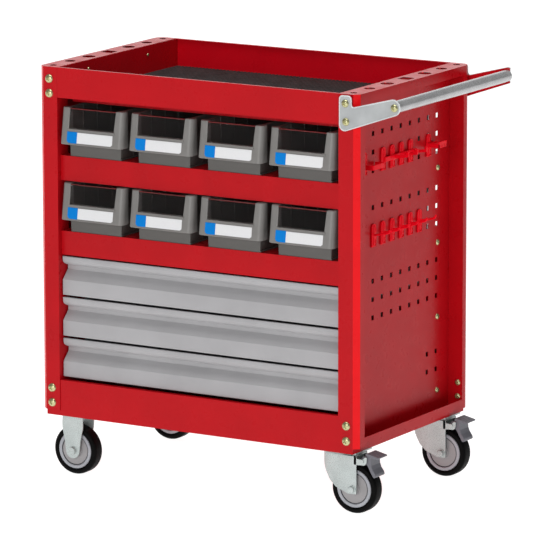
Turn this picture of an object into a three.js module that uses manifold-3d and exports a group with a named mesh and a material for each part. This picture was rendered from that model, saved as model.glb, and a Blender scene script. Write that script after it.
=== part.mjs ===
// Rolling tool chest: a sheet-metal trolley with a matted top tray, two shelves of small-parts bins,
// three drawers, perforated sides with tool hooks, a push handle and four casters.
// Millimetres. X is the width (handle at +X), the front faces -Y, Z is up and the floor is Z = 0.
import * as THREE from 'three';
import { mergeVertices } from 'three/addons/utils/BufferGeometryUtils.js';
import Module from 'manifold-3d';

const wasm = await Module();
wasm.setup();

// ---- driving dimensions ----
const GAP = 0.3; // clearance between neighbouring pieces
const SHEET = 1.5; // body sheet thickness
const HALF_WIDTH = 381; // body half width over the side frames
const HALF_DEPTH = 235; // body half depth over the posts
const FRAME_BOTTOM = 142; // underside of the posts
const FRAME_TOP = 868; // top face of the tool rails
const BASE_BOTTOM = 131; // underside of the base pan
const BASE_HALF_WIDTH = 369; // base pan half width

const POST_FACE = 45; // post width seen from the front, chamfer included
const POST_CHAMFER = 11; // chamfer on the front outer corner
const POST_RETURN = 40; // depth of the flange on the inner side of a post
const POST_FLANGE_END = 205; // where the side flange of a post turns inwards
const REAR_RADIUS = 20; // rounding of the rear outer corner
const SIDE_RECESS = 34; // depth of the perforated panel behind the side flanges
const SIDE_BAND = 20; // height of the bottom lip and of the rail skirt

const INNER_X = HALF_WIDTH - POST_FACE; // inner face of a post
const PANEL_X = HALF_WIDTH - SIDE_RECESS; // outer face of a perforated panel
const SPAN_X = INNER_X - GAP - 0.1; // half width of whatever sits between the posts

const RAIL_HOLE_Y = [77.5, 149, 213.5]; // distance of the round rail holes from the middle
const RAIL_HOLE_DIAMETER = [28, 23, 15];
const RAIL_SQUARE = 27; // side of the middle rail hole

const SLOT_PITCH = 38; // pitch of the panel holes both ways
const SLOT_SIZE = 10; // side of the square panel holes
const SLOT_COLUMNS = 4; // columns of holes on either side of the middle one
const SLOT_BLOCK_TOP = [770, 618, 466]; // top row of each block of three rows
const SLOT_REAR_ROWS = [272, 234]; // small block near the rear post

const TRAY_FLOOR = 804.6; // underside of the tray floor
const HEM = 6; // folded edge along the top of the tray walls
const TRAY_BRACE_Y = -181; // front face of the stiffener under the tray
const TRAY_BRACE_DROP = 15;
const MAT_THICKNESS = 3;
const MAT_RIB_PITCH = 18;

const INSET_Y = -223; // front plane of the shelves and the drawers
const SHELF_TOP = [682.3, 523.1];
const SHELF_FACE = 52.5; // height of the front face of the upper shelf
const SHELF_FACE_LOWER = 50.3;
const SHELF_REAR = 213;
const SHELF_RIM = 22; // flange along the back and the ends of a shelf

const BASE_FACE_TOP = 207;
const BACK_PANEL_TOP = 521;

const BIN_COUNT = 4; // bins on each shelf
const BIN_PITCH = 167;
const BIN_FRONT = 152.5; // width of the hopper front
const BIN_BODY = 128; // width of the box behind it
const BIN_HEIGHT = 103.5;
const BIN_REAR = 176;
const BIN_WALL = 2.2;
const BIN_HOPPER_BOTTOM = 27; // underside of the hopper above the bin foot
const BIN_HOPPER_REACH = 21; // how far the hopper stands out at its lower edge
const BIN_HOPPER_LEAN = 11; // how much less it stands out at the top
const BIN_HOPPER_DEPTH = 22; // length of the wide front collar
const BIN_OPENING = 112; // width of the front opening
const BIN_SILL = 59; // lower edge of the front opening above the foot

const DRAWER_TOP = 471;
const DRAWER_PITCH = 87;
const DRAWER_HEIGHT = 84;
const DRAWER_SHEET = 1.2;
const DRAWER_HALF = 319; // half width of the drawer box
const DRAWER_REAR = 185;
const GROOVE_DEPTH = 19.5;

const HANDLE_X = 465; // axis of the push bar
const HANDLE_Z = 850;
const HANDLE_RADIUS = 12.3;
const BRACKET_THICKNESS = 5;
const BRACKET_TIP = 17; // rounding of a bracket round the push bar
const BRACKET_CUT = 9; // cut ends stop this far past the axis of the bar
const BRACKET_LOBE = 8; // corner rounding at the top of a bracket
const COVER_THICKNESS = 2.2;
const HANDLE_BOLTS = [[355.5, 850], [357, 813], [468, 849.5]]; // bolt heads on an end cover
const BOLT_RADIUS = 8.2;
const BOLT_HEIGHT = 3.9;

const HOOK_TAB_WIDTH = 18;
const HOOK_TAB_HEIGHT = 48;
const HOOK_TAB_THICKNESS = 3;

const CASTER_X = 322; // middle of each caster plate from the middle of the chest
const CASTER_Y = 187;
const WHEEL_RADIUS = 52;
const TREAD_WIDTH = 31;
const RIM_RADIUS = 40; // where the tyre meets the hub
const HUB_HALF = 17.5;
const AXLE_RADIUS = 6;
const AXLE_PLAY = 0.09; // radial clearance of whatever turns on a pin
const TRAIL = 31.6; // swivel axis to axle
const FORK_HALF = 23; // half of the outer fork width
const FORK_SHEET = 2.5;
const PLATE_Z = 127.7; // underside of the caster plates
const ROUND = 24; // segments on turned parts

// ---- materials ----
function material(color, roughness, metalness) {
  return new THREE.MeshStandardMaterial({ color, roughness, metalness });
}
const RED = () => material(0xb91d22, 0.38, 0.0);
const STEEL_GREY = () => material(0xa8a6a9, 0.42, 0.0);
const BIN_GREY = () => material(0x787673, 0.5, 0.0);
const RUBBER = () => material(0x141414, 0.75, 0.0);
const MAT_BLACK = () => material(0x2e2626, 0.85, 0.0);
const HUB_GREY = () => material(0x949599, 0.45, 0.0);
const ZINC = () => material(0xa3b4b0, 0.32, 0.85);
const ALUMINIUM = () => material(0xb4b8b9, 0.3, 0.9);
const PEDAL_GREY = () => material(0x66656b, 0.5, 0.0);

// ---- solids ----
const ALONG_X = new THREE.Matrix4().set(0, 0, 1, 0, 1, 0, 0, 0, 0, 1, 0, 0, 0, 0, 0, 1);
const ALONG_Y = new THREE.Matrix4().set(1, 0, 0, 0, 0, 0, -1, 0, 0, 1, 0, 0, 0, 0, 0, 1);

function toSolid(geometry) {
  geometry.deleteAttribute('normal');
  geometry.deleteAttribute('uv');
  const merged = mergeVertices(geometry, 1e-5);
  return new wasm.Manifold(new wasm.Mesh({
    numProp: 3,
    vertProperties: new Float32Array(merged.attributes.position.array),
    triVerts: new Uint32Array(merged.index.array),
  }));
}

function toGeometry(solid) {
  const mesh = solid.getMesh();
  const geometry = new THREE.BufferGeometry();
  geometry.setAttribute('position', new THREE.BufferAttribute(mesh.vertProperties, 3));
  geometry.setIndex(new THREE.BufferAttribute(mesh.triVerts, 1));
  return geometry;
}

function extrude(points, depth) {
  const shape = new THREE.Shape(points.map(([u, v]) => new THREE.Vector2(u, v)));
  return new THREE.ExtrudeGeometry(shape, { depth, bevelEnabled: false, steps: 1 });
}

// Outline in (x, y), from z0 to z1.
function prismZ(points, z0, z1) {
  return toSolid(extrude(points, z1 - z0).translate(0, 0, z0));
}

// Outline in (y, z), from x0 to x1.
function prismX(points, x0, x1) {
  return toSolid(extrude(points, x1 - x0).applyMatrix4(ALONG_X).translate(x0, 0, 0));
}

// Outline in (x, z), from y0 to y1.
function prismY(points, y0, y1) {
  return toSolid(extrude(points, y1 - y0).applyMatrix4(ALONG_Y).translate(0, y1, 0));
}

function box(x0, x1, y0, y1, z0, z1) {
  const geometry = new THREE.BoxGeometry(x1 - x0, y1 - y0, z1 - z0);
  return toSolid(geometry.translate((x0 + x1) / 2, (y0 + y1) / 2, (z0 + z1) / 2));
}

function union(...solids) {
  return solids.reduce((sum, solid) => sum.add(solid));
}

function cut(solid, ...tools) {
  return tools.reduce((rest, tool) => rest.subtract(tool), solid);
}

function mirrored(solid) {
  const geometry = toGeometry(solid);
  geometry.applyMatrix4(new THREE.Matrix4().makeScale(-1, 1, 1));
  const index = geometry.index.array;
  for (let i = 0; i < index.length; i += 3) {
    [index[i], index[i + 1]] = [index[i + 1], index[i]];
  }
  return toSolid(geometry);
}

function moved(solid, x, y, z) {
  return toSolid(toGeometry(solid).translate(x, y, z));
}

// Closed outline of a sheet whose outer side follows the path, thickened to its left.
function sheetOutline(path, thickness) {
  const inner = path.map((point, i) => {
    const before = path[Math.max(i - 1, 0)];
    const after = path[Math.min(i + 1, path.length - 1)];
    const a = i > 0 ? direction(before, point) : direction(point, after);
    const b = i < path.length - 1 ? direction(point, after) : a;
    const scale = thickness / (1 + a[0] * b[0] + a[1] * b[1]);
    return [point[0] - (a[1] + b[1]) * scale, point[1] + (a[0] + b[0]) * scale];
  });
  return [...path, ...inner.reverse()];
}

function direction(from, to) {
  const length = Math.hypot(to[0] - from[0], to[1] - from[1]);
  return [(to[0] - from[0]) / length, (to[1] - from[1]) / length];
}

function arc(cx, cy, radius, startDeg, endDeg, steps) {
  const points = [];
  for (let i = 0; i <= steps; i += 1) {
    const angle = THREE.MathUtils.degToRad(startDeg + ((endDeg - startDeg) * i) / steps);
    points.push([cx + radius * Math.cos(angle), cy + radius * Math.sin(angle)]);
  }
  return points;
}

function circle(cx, cy, radius, sides) {
  return arc(cx, cy, radius, 0, 360 - 360 / sides, sides - 1);
}

// Ring or disc turned about the Y axis through (x, z); the profile is a closed loop of [radius, y].
function turnedY(profile, x, y, z, sides = ROUND) {
  const loop = profile.map(([r, h]) => new THREE.Vector2(r, h));
  loop.push(loop[0].clone());
  const geometry = new THREE.LatheGeometry(loop, sides);
  return toSolid(fixOutward(geometry).translate(x, y, z));
}

// Lathe faces follow the direction of their profile; turn them outwards when they point in.
function fixOutward(geometry) {
  const position = geometry.attributes.position;
  const index = geometry.index.array;
  let volume = 0;
  const [a, b, c] = [new THREE.Vector3(), new THREE.Vector3(), new THREE.Vector3()];
  for (let i = 0; i < index.length; i += 3) {
    a.fromBufferAttribute(position, index[i]);
    b.fromBufferAttribute(position, index[i + 1]);
    c.fromBufferAttribute(position, index[i + 2]);
    volume += a.dot(b.cross(c));
  }
  if (volume < 0) {
    for (let i = 0; i < index.length; i += 3) {
      [index[i], index[i + 1]] = [index[i + 1], index[i]];
    }
  }
  return geometry;
}

// Round bar along a list of points.
function bar(points, radius, sides) {
  const path = new THREE.CurvePath();
  for (let i = 1; i < points.length; i += 1) {
    path.add(new THREE.LineCurve3(new THREE.Vector3(...points[i - 1]), new THREE.Vector3(...points[i])));
  }
  const shape = new THREE.Shape(circle(0, 0, radius, sides).map(([u, v]) => new THREE.Vector2(u, v)));
  return toSolid(new THREE.ExtrudeGeometry(shape, { extrudePath: path, steps: points.length - 1 }));
}

// ---- assembly ----
const chest = new THREE.Group();
chest.name = 'rolling_tool_chest';

function add(name, solid, paint) {
  const mesh = new THREE.Mesh(toGeometry(solid), paint);
  mesh.name = name;
  chest.add(mesh);
}

// ---- side frames: two formed posts, the tool rail on top and the lip at the bottom ----
function sideFrame() {
  const frontPost = sheetOutline([
    [INNER_X, -HALF_DEPTH + POST_RETURN],
    [INNER_X, -HALF_DEPTH],
    [HALF_WIDTH - POST_CHAMFER, -HALF_DEPTH],
    [HALF_WIDTH, -HALF_DEPTH + POST_CHAMFER],
    [HALF_WIDTH, -POST_FLANGE_END],
    [PANEL_X + GAP, -POST_FLANGE_END],
  ], SHEET);
  const rearCorner = arc(HALF_WIDTH - REAR_RADIUS, HALF_DEPTH - REAR_RADIUS, REAR_RADIUS, 0, 90, 6);
  const rearPost = sheetOutline([
    [PANEL_X + GAP, POST_FLANGE_END],
    [HALF_WIDTH, POST_FLANGE_END],
    ...rearCorner,
    [INNER_X, HALF_DEPTH],
    [INNER_X, HALF_DEPTH - POST_RETURN],
  ], SHEET);
  const overlap = POST_FLANGE_END + SHEET;
  const lipTop = FRAME_BOTTOM + SIDE_BAND;
  const lipFace = box(HALF_WIDTH - SHEET, HALF_WIDTH, -overlap, overlap, FRAME_BOTTOM, lipTop);
  const lipFloor = box(PANEL_X + GAP, HALF_WIDTH, -overlap, overlap, FRAME_BOTTOM, FRAME_BOTTOM + SHEET);
  const skirt = box(HALF_WIDTH - SHEET, HALF_WIDTH, -overlap, overlap, FRAME_TOP - SIDE_BAND, FRAME_TOP);
  const innerEnd = HALF_DEPTH - POST_RETURN + SHEET;
  const innerSkirt = box(INNER_X, INNER_X + SHEET, -innerEnd, innerEnd, FRAME_TOP - SIDE_BAND, FRAME_TOP);
  const top = prismZ([
    [INNER_X, -HALF_DEPTH],
    [HALF_WIDTH - POST_CHAMFER, -HALF_DEPTH],
    [HALF_WIDTH, -HALF_DEPTH + POST_CHAMFER],
    ...rearCorner,
    [INNER_X, HALF_DEPTH],
  ], FRAME_TOP - SHEET, FRAME_TOP);
  const railX = (INNER_X + HALF_WIDTH) / 2;
  const punches = RAIL_HOLE_Y.flatMap((y, i) => [-y, y].map((side) => (
    prismZ(circle(railX, side, RAIL_HOLE_DIAMETER[i] / 2, 20), FRAME_TOP - 2 * SHEET, FRAME_TOP + SHEET)
  )));
  const half = RAIL_SQUARE / 2;
  punches.push(box(railX - half, railX + half, -half, half, FRAME_TOP - 2 * SHEET, FRAME_TOP + SHEET));
  const posts = union(
    prismZ(frontPost, FRAME_BOTTOM, FRAME_TOP - SHEET / 2),
    prismZ(rearPost, FRAME_BOTTOM, FRAME_TOP - SHEET / 2),
  );
  return union(posts, lipFace, lipFloor, skirt, innerSkirt, cut(top, ...punches));
}

// ---- perforated side panels ----
function panelPunch(column, z) {
  const y = column * SLOT_PITCH;
  const half = SLOT_SIZE / 2;
  return box(PANEL_X - 2 * SHEET, PANEL_X + SHEET, y - half, y + half, z - half, z + half);
}

function sidePanel() {
  const edge = POST_FLANGE_END + 7;
  const plate = box(PANEL_X - SHEET, PANEL_X, -edge, edge, FRAME_BOTTOM + SHEET + GAP, 845);
  const rows = SLOT_BLOCK_TOP.flatMap((top) => [top, top - SLOT_PITCH, top - 2 * SLOT_PITCH]);
  const punches = SLOT_REAR_ROWS.flatMap((z) => (
    [panelPunch(SLOT_COLUMNS - 1, z), panelPunch(SLOT_COLUMNS, z)]
  ));
  for (let column = -SLOT_COLUMNS; column <= SLOT_COLUMNS; column += 1) {
    punches.push(...rows.map((z) => panelPunch(column, z)));
  }
  return cut(plate, ...punches);
}

const rightFrame = sideFrame();
const rightPanel = sidePanel();
add('side_frame_right', rightFrame, RED());
add('side_frame_left', mirrored(rightFrame), RED());
add('side_panel_right', rightPanel, RED());
add('side_panel_left', mirrored(rightPanel), RED());

// ---- top tray and its mat ----
function tray() {
  const pan = prismX(sheetOutline([
    [HEM - HALF_DEPTH, FRAME_TOP],
    [-HALF_DEPTH, FRAME_TOP],
    [-HALF_DEPTH, TRAY_FLOOR],
    [HALF_DEPTH, TRAY_FLOOR],
    [HALF_DEPTH, FRAME_TOP],
    [HALF_DEPTH - HEM, FRAME_TOP],
  ], SHEET), -SPAN_X, SPAN_X);
  const edge = HALF_DEPTH - SHEET / 2;
  const end = (x) => box(x, x + SHEET, -edge, edge, TRAY_FLOOR + SHEET / 2, FRAME_TOP - SHEET / 2);
  const brace = prismX(sheetOutline([
    [TRAY_BRACE_Y, TRAY_FLOOR + SHEET / 2],
    [TRAY_BRACE_Y, TRAY_FLOOR - TRAY_BRACE_DROP],
    [TRAY_BRACE_Y + 2 * TRAY_BRACE_DROP, TRAY_FLOOR - TRAY_BRACE_DROP],
    [TRAY_BRACE_Y + 2 * TRAY_BRACE_DROP, TRAY_FLOOR - SHEET - 2],
  ], SHEET), 3 - SPAN_X, SPAN_X - 3);
  return union(pan, end(-SPAN_X), end(SPAN_X - SHEET), brace);
}

function ribbedMat() {
  const halfX = SPAN_X - SHEET - 1;
  const halfY = HALF_DEPTH - SHEET - 1;
  const bottom = TRAY_FLOOR + SHEET + GAP;
  const outline = [[halfX, bottom], [halfX, bottom + MAT_THICKNESS]];
  const count = Math.floor((2 * halfX) / MAT_RIB_PITCH);
  for (let i = 0; i < count; i += 1) {
    const x = halfX - MAT_RIB_PITCH * (i + 0.5);
    outline.push([x, bottom + MAT_THICKNESS]);
    outline.push([x - MAT_RIB_PITCH * 0.25, bottom + MAT_THICKNESS - 0.8]);
    outline.push([x - MAT_RIB_PITCH * 0.5, bottom + MAT_THICKNESS]);
  }
  outline.push([-halfX, bottom + MAT_THICKNESS], [-halfX, bottom]);
  return prismY(outline, -halfY, halfY);
}

add('top_tray', tray(), RED());
add('tray_mat', ribbedMat(), MAT_BLACK());

// ---- bin shelves ----
function shelf(top, face) {
  const profile = sheetOutline([
    [SHELF_REAR, top - SHELF_RIM],
    [SHELF_REAR, top],
    [INSET_Y, top],
    [INSET_Y, top - face],
    [INSET_Y + 14, top - face],
  ], SHEET);
  const plate = prismX(profile, -SPAN_X, SPAN_X);
  const [y0, y1] = [INSET_Y + SHEET / 2, SHELF_REAR - SHEET / 2];
  const end = (x) => box(x, x + SHEET, y0, y1, top - SHELF_RIM, top - SHEET / 2);
  return union(plate, end(-SPAN_X), end(SPAN_X - SHEET));
}

add('bin_shelf_upper', shelf(SHELF_TOP[0], SHELF_FACE), RED());
add('bin_shelf_lower', shelf(SHELF_TOP[1], SHELF_FACE_LOWER), RED());

// ---- base pan and back panel ----
function basePan() {
  const y = HALF_DEPTH - SHEET - GAP;
  const x = BASE_HALF_WIDTH;
  const curb = FRAME_BOTTOM - GAP;
  const wall = (y0, y1, z1, halfX) => box(-halfX, halfX, y0, y1, BASE_BOTTOM, z1);
  return union(
    wall(-y, y, BASE_BOTTOM + SHEET, x),
    wall(-y, SHEET - y, curb, x),
    wall(y - SHEET, y, curb, x),
    box(-x, SHEET - x, -y, y, BASE_BOTTOM, curb),
    box(x - SHEET, x, -y, y, BASE_BOTTOM, curb),
    wall(-y, SHEET - y, BASE_FACE_TOP, SPAN_X),
    wall(y - SHEET, y, BASE_FACE_TOP, SPAN_X),
    box(-SPAN_X, SPAN_X, -y, 12 - y, BASE_FACE_TOP - SHEET, BASE_FACE_TOP),
    box(-SPAN_X, SPAN_X, y - 12, y, BASE_FACE_TOP - SHEET, BASE_FACE_TOP),
  );
}

add('base_pan', basePan(), RED());
const backY = HALF_DEPTH - SHEET;
add('back_panel', box(-SPAN_X, SPAN_X, backY - SHEET, backY, BASE_FACE_TOP + GAP, BACK_PANEL_TOP), RED());

// ---- small-parts bins ----
function bin() {
  const hopperBack = BIN_HOPPER_DEPTH - BIN_HOPPER_REACH;
  const half = BIN_FRONT / 2;
  const body = box(-BIN_BODY / 2, BIN_BODY / 2, 0, BIN_REAR - INSET_Y, 4, BIN_HEIGHT);
  const foot = box(4 - BIN_BODY / 2, BIN_BODY / 2 - 4, 4, BIN_REAR - INSET_Y - 4, 0, 5);
  const hopperOutline = (inset) => [
    [inset ? 8 : hopperBack + 4, BIN_HOPPER_BOTTOM + inset],
    [inset * 1.2 - BIN_HOPPER_REACH, BIN_HOPPER_BOTTOM + inset],
    [inset * 1.2 - BIN_HOPPER_REACH + BIN_HOPPER_LEAN, BIN_HEIGHT + inset],
    [inset ? 8 : hopperBack + 4, BIN_HEIGHT + inset],
  ];
  const hopper = prismX(hopperOutline(0), -half, half);
  const hopperVoid = prismX(hopperOutline(BIN_WALL), BIN_WALL + 10 - half, half - 10 - BIN_WALL);
  const bodyVoid = box(
    BIN_WALL - BIN_BODY / 2, BIN_BODY / 2 - BIN_WALL,
    BIN_WALL, BIN_REAR - INSET_Y - BIN_WALL,
    4 + BIN_WALL, BIN_HEIGHT + 1,
  );
  const opening = box(
    -BIN_OPENING / 2, BIN_OPENING / 2,
    -BIN_HOPPER_REACH - 1, BIN_WALL + 1,
    BIN_SILL, BIN_HEIGHT + 1,
  );
  const ribs = [48, 154, 260, 340].flatMap((y) => [-1, 1].map((side) => {
    const x = side * (BIN_BODY / 2 - BIN_WALL);
    return box(Math.min(x, x - side * 2), Math.max(x, x - side * 2), y, y + 3, 5, BIN_HEIGHT - 2);
  }));
  const shell = cut(union(body, foot, hopper), hopperVoid, bodyVoid, opening);
  return union(shell, ...ribs);
}

const binSolid = bin();
['upper', 'lower'].forEach((row, level) => {
  for (let i = 0; i < BIN_COUNT; i += 1) {
    const x = (i - (BIN_COUNT - 1) / 2) * BIN_PITCH;
    add(`bin_${row}_${i + 1}`, moved(binSolid, x, INSET_Y + 1, SHELF_TOP[level] + GAP), BIN_GREY());
  }
});

// ---- drawers: rolled front, box with slide bars, and the runners on the side panels ----
function drawerFront(top) {
  const lip = arc(INSET_Y + 15, top - 5.5, 15, 180, 262, 5);
  const bottom = top - DRAWER_HEIGHT;
  const path = [
    [INSET_Y + GROOVE_DEPTH + 3, top],
    [INSET_Y + 2, top],
    [INSET_Y, top - 2],
    ...lip,
    [INSET_Y + GROOVE_DEPTH, top - 21.5],
    [INSET_Y + GROOVE_DEPTH, top - 31.5],
    [INSET_Y, top - 51],
    [INSET_Y, bottom],
    [INSET_Y + 15, bottom],
  ];
  return prismX(sheetOutline(path, DRAWER_SHEET), 2 - SPAN_X, SPAN_X - 2);
}

function drawerBox(top) {
  const y0 = INSET_Y + GROOVE_DEPTH + DRAWER_SHEET + GAP;
  const z0 = top - DRAWER_HEIGHT + DRAWER_SHEET + 3;
  const z1 = top - 14;
  const outer = box(-DRAWER_HALF, DRAWER_HALF, y0, DRAWER_REAR, z0, z1);
  const inner = box(
    DRAWER_SHEET - DRAWER_HALF, DRAWER_HALF - DRAWER_SHEET,
    y0 + DRAWER_SHEET, DRAWER_REAR - DRAWER_SHEET,
    z0 + DRAWER_SHEET, z1 + 1,
  );
  const slideZ = (z0 + z1) / 2;
  const slideBar = (x0, x1) => box(x0, x1, y0 + 4, DRAWER_REAR - 4, slideZ - 9, slideZ + 9);
  return union(
    cut(outer, inner),
    slideBar(DRAWER_HALF - 0.4, DRAWER_HALF + 12.5),
    slideBar(-DRAWER_HALF - 12.5, 0.4 - DRAWER_HALF),
  );
}

function runner(top) {
  const middle = top - (DRAWER_HEIGHT + 14 - DRAWER_SHEET - 3) / 2;
  const web = SPAN_X - 0.2;
  const profile = sheetOutline([
    [DRAWER_HALF + 1.5, middle + 12],
    [web, middle + 12],
    [web, middle - 12],
    [DRAWER_HALF + 1.5, middle - 12],
  ].reverse(), SHEET);
  return prismY(profile, -POST_FLANGE_END + 12, POST_FLANGE_END);
}

['upper', 'middle', 'lower'].forEach((level, i) => {
  const top = DRAWER_TOP - i * DRAWER_PITCH;
  const right = runner(top);
  add(`drawer_front_${level}`, drawerFront(top), STEEL_GREY());
  add(`drawer_box_${level}`, drawerBox(top), STEEL_GREY());
  add(`drawer_runner_right_${level}`, right, ZINC());
  add(`drawer_runner_left_${level}`, mirrored(right), ZINC());
});

// ---- push handle ----
function bracketOutline(inset, tipEnd) {
  const tip = arc(HANDLE_X, HANDLE_Z, BRACKET_TIP - inset, -70, 98, 7);
  return [
    ...arc(354, 806.3, 12.5 - inset, 180, 290, 4),
    ...tip.map(([x, z]) => [Math.min(x, tipEnd), z]),
    [373.5, 843.8 - inset],
    [370.5 - inset, 849],
    ...arc(370.5 - BRACKET_LOBE, 858.6, BRACKET_LOBE - inset, 0, 90, 3),
    ...arc(341.5 + BRACKET_LOBE, 858.6, BRACKET_LOBE - inset, 90, 180, 3),
  ];
}

function bracket(sign, inset, offset, thickness, tipEnd) {
  const near = HALF_DEPTH + GAP + offset;
  const [y0, y1] = [sign * near, sign * (near + thickness)].sort((a, b) => a - b);
  return prismY(bracketOutline(inset, tipEnd), y0, y1);
}

[['front', -1], ['rear', 1]].forEach(([end, sign]) => {
  const cutEnd = HANDLE_X + BRACKET_CUT;
  const coverEnd = sign < 0 ? HANDLE_X + BRACKET_TIP : cutEnd;
  const plate = bracket(sign, 0.8, 0, BRACKET_THICKNESS, cutEnd);
  add(`handle_bracket_${end}`, plate, RED());
  const cover = bracket(sign, 0, BRACKET_THICKNESS + GAP, COVER_THICKNESS, coverEnd);
  const face = sign * (HALF_DEPTH + BRACKET_THICKNESS + COVER_THICKNESS + 2 * GAP);
  const [y0, y1] = [face - sign, face + sign * BOLT_HEIGHT].sort((a, b) => a - b);
  const heads = HANDLE_BOLTS.map(([x, z]) => (
    prismY(circle(Math.min(x, coverEnd - BOLT_RADIUS - 0.8), z, BOLT_RADIUS, 12), y0, y1)
  ));
  add(`handle_cover_${end}`, union(cover, ...heads), ALUMINIUM());
});
add('handle_tube', turnedY([
  [HANDLE_RADIUS - 1.5, -HALF_DEPTH],
  [HANDLE_RADIUS, -HALF_DEPTH],
  [HANDLE_RADIUS, HALF_DEPTH],
  [HANDLE_RADIUS - 1.5, HALF_DEPTH],
], HANDLE_X, 0, HANDLE_Z), ALUMINIUM());

// ---- tool hooks hung in the panel slots ----
function hookTab(y, lowerSlot) {
  const z0 = lowerSlot - 5;
  const half = HOOK_TAB_WIDTH / 2;
  const x0 = PANEL_X + GAP;
  const outline = [
    [y - half, z0],
    [y + half, z0],
    ...arc(y, z0 + HOOK_TAB_HEIGHT - half, half, 0, 180, 6),
  ];
  const tongue = (z) => box(PANEL_X - 5, x0 + 1, y - 3, y + 3, z - 4, z + 4);
  const plate = cut(
    prismX(outline, x0, x0 + HOOK_TAB_THICKNESS),
    prismX(circle(y + 5.5, z0 + 5, 1.8, 6), x0 - 1, x0 + HOOK_TAB_THICKNESS + 1),
    prismX(circle(y + 5.5, z0 + 12, 1.8, 6), x0 - 1, x0 + HOOK_TAB_THICKNESS + 1),
  );
  return union(plate, tongue(lowerSlot), tongue(lowerSlot + SLOT_PITCH));
}

function pegHook(y, lowerSlot) {
  const x = PANEL_X + GAP + 1;
  const z = lowerSlot + 19;
  const peg = bar([[x, y, z], [x + 20, y, z + 4], [x + 36, y, z + 10], [x + 40, y, z + 16]], 2, 8);
  return union(hookTab(y, lowerSlot), peg);
}

for (let i = 0; i < 6; i += 1) {
  add(`peg_hook_${i + 1}`, pegHook((i - 3) * SLOT_PITCH, SLOT_BLOCK_TOP[1] - 2 * SLOT_PITCH), RED());
}

function ringHolder(lowerSlot) {
  const x0 = PANEL_X + GAP;
  const y = -4 * SLOT_PITCH;
  const loop = prismZ(sheetOutline([
    [x0 + 1, y - 4],
    [x0 + 24, y - 4],
    [x0 + 24, y + 45],
    [x0 + 1, y + 45],
  ], 2.5), lowerSlot + 8, lowerSlot + 18);
  return union(hookTab(y, lowerSlot), loop);
}

function toolRack(lowerSlot) {
  const x0 = PANEL_X + GAP;
  const columns = [-2 * SLOT_PITCH, -SLOT_PITCH, 0, SLOT_PITCH];
  const z = lowerSlot + 12;
  const beam = box(x0 + 1, x0 + 7, columns[0], columns[3] + 16, z, z + 10);
  const prongs = columns.slice(1).map((y) => prismY([
    [x0 + 5, z + 1],
    [x0 + 36, z + 6],
    [x0 + 37, z + 18],
    [x0 + 34, z + 18],
    [x0 + 32, z + 10],
    [x0 + 5, z + 7],
  ], y + 4, y + 8));
  return union(beam, ...columns.map((y) => hookTab(y, lowerSlot)), ...prongs);
}

function forkHolder(lowerSlot) {
  const x0 = PANEL_X + GAP;
  const y = 3 * SLOT_PITCH;
  const z = lowerSlot + 14;
  const beam = box(x0 + 1, x0 + 6, y - 8, y + 26, z, z + 10);
  const tines = [-6, 4, 14, 23].map((dy) => box(x0 + 5, x0 + 30, y + dy, y + dy + 3, z + 1, z + 9));
  const stop = box(x0 + 27, x0 + 30, y - 6, y + 26, z + 1, z + 14);
  return union(beam, hookTab(y, lowerSlot), ...tines, stop);
}

const upperSlots = SLOT_BLOCK_TOP[0] - 2 * SLOT_PITCH;
add('ring_holder', ringHolder(upperSlots), RED());
add('tool_rack', toolRack(upperSlots), RED());
add('fork_holder', forkHolder(upperSlots), RED());

// ---- casters ----
const TYRE_PROFILE = [
  [RIM_RADIUS, -13],
  [RIM_RADIUS + 4, -TREAD_WIDTH / 2],
  [WHEEL_RADIUS - 4, -TREAD_WIDTH / 2],
  [WHEEL_RADIUS, -7],
  [WHEEL_RADIUS, 7],
  [WHEEL_RADIUS - 4, TREAD_WIDTH / 2],
  [RIM_RADIUS + 4, TREAD_WIDTH / 2],
  [RIM_RADIUS, 13],
];

function hubProfile() {
  const side = [
    [RIM_RADIUS - GAP, 14],
    [RIM_RADIUS - 8, 14],
    [RIM_RADIUS - 9, 12],
    [12, 14],
    [11, HUB_HALF],
    [AXLE_RADIUS + AXLE_PLAY, HUB_HALF],
  ];
  return [...side, ...side.map(([r, h]) => [r, -h]).reverse()];
}

function wheelAxle() {
  const half = FORK_HALF + 1;
  return [
    [0, -half - 5],
    [8, -half - 5],
    [8, -half + 0.5],
    [AXLE_RADIUS, -half + 0.5],
    [AXLE_RADIUS, half - 0.5],
    [8, half - 0.5],
    [8, half + 5],
    [0, half + 5],
  ];
}

// Both cheeks of a fork, cut from one outline in (x, z).
function cheeks(outline, x, y) {
  const placed = outline.map(([u, v]) => [x + u, v]);
  const near = prismY(placed, y - FORK_HALF, y - FORK_HALF + FORK_SHEET);
  const far = prismY(placed, y + FORK_HALF - FORK_SHEET, y + FORK_HALF);
  return union(near, far);
}

function casterPlate(x, y) {
  return cut(
    box(x - 47, x + 47, y - 33, y + 33, PLATE_Z, BASE_BOTTOM - GAP),
    ...[[-38, -24], [38, -24], [-38, 24], [38, 24]].map(([dx, dy]) => (
      prismZ(circle(x + dx, y + dy, 4.2, 10), PLATE_Z - 1, BASE_BOTTOM)
    )),
  );
}

function axleSolid(x, y) {
  return turnedY(wheelAxle(), x, y, WHEEL_RADIUS, 16);
}

function fixedFork(x, y) {
  const outline = [
    ...arc(0, WHEEL_RADIUS, 16.5, 190, 350, 6),
    [19.5, 75],
    [24.5, 98],
    [25.3, 108],
    [24, PLATE_Z + 0.5],
    [-24, PLATE_Z + 0.5],
    [-25.3, 108],
    [-24.5, 98],
    [-19.5, 75],
  ];
  const bridge = box(x - 24, x + 24, y - FORK_HALF, y + FORK_HALF, PLATE_Z - 3, PLATE_Z + 0.5);
  return union(cheeks(outline, x, y), bridge, casterPlate(x, y), axleSolid(x, y));
}

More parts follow.
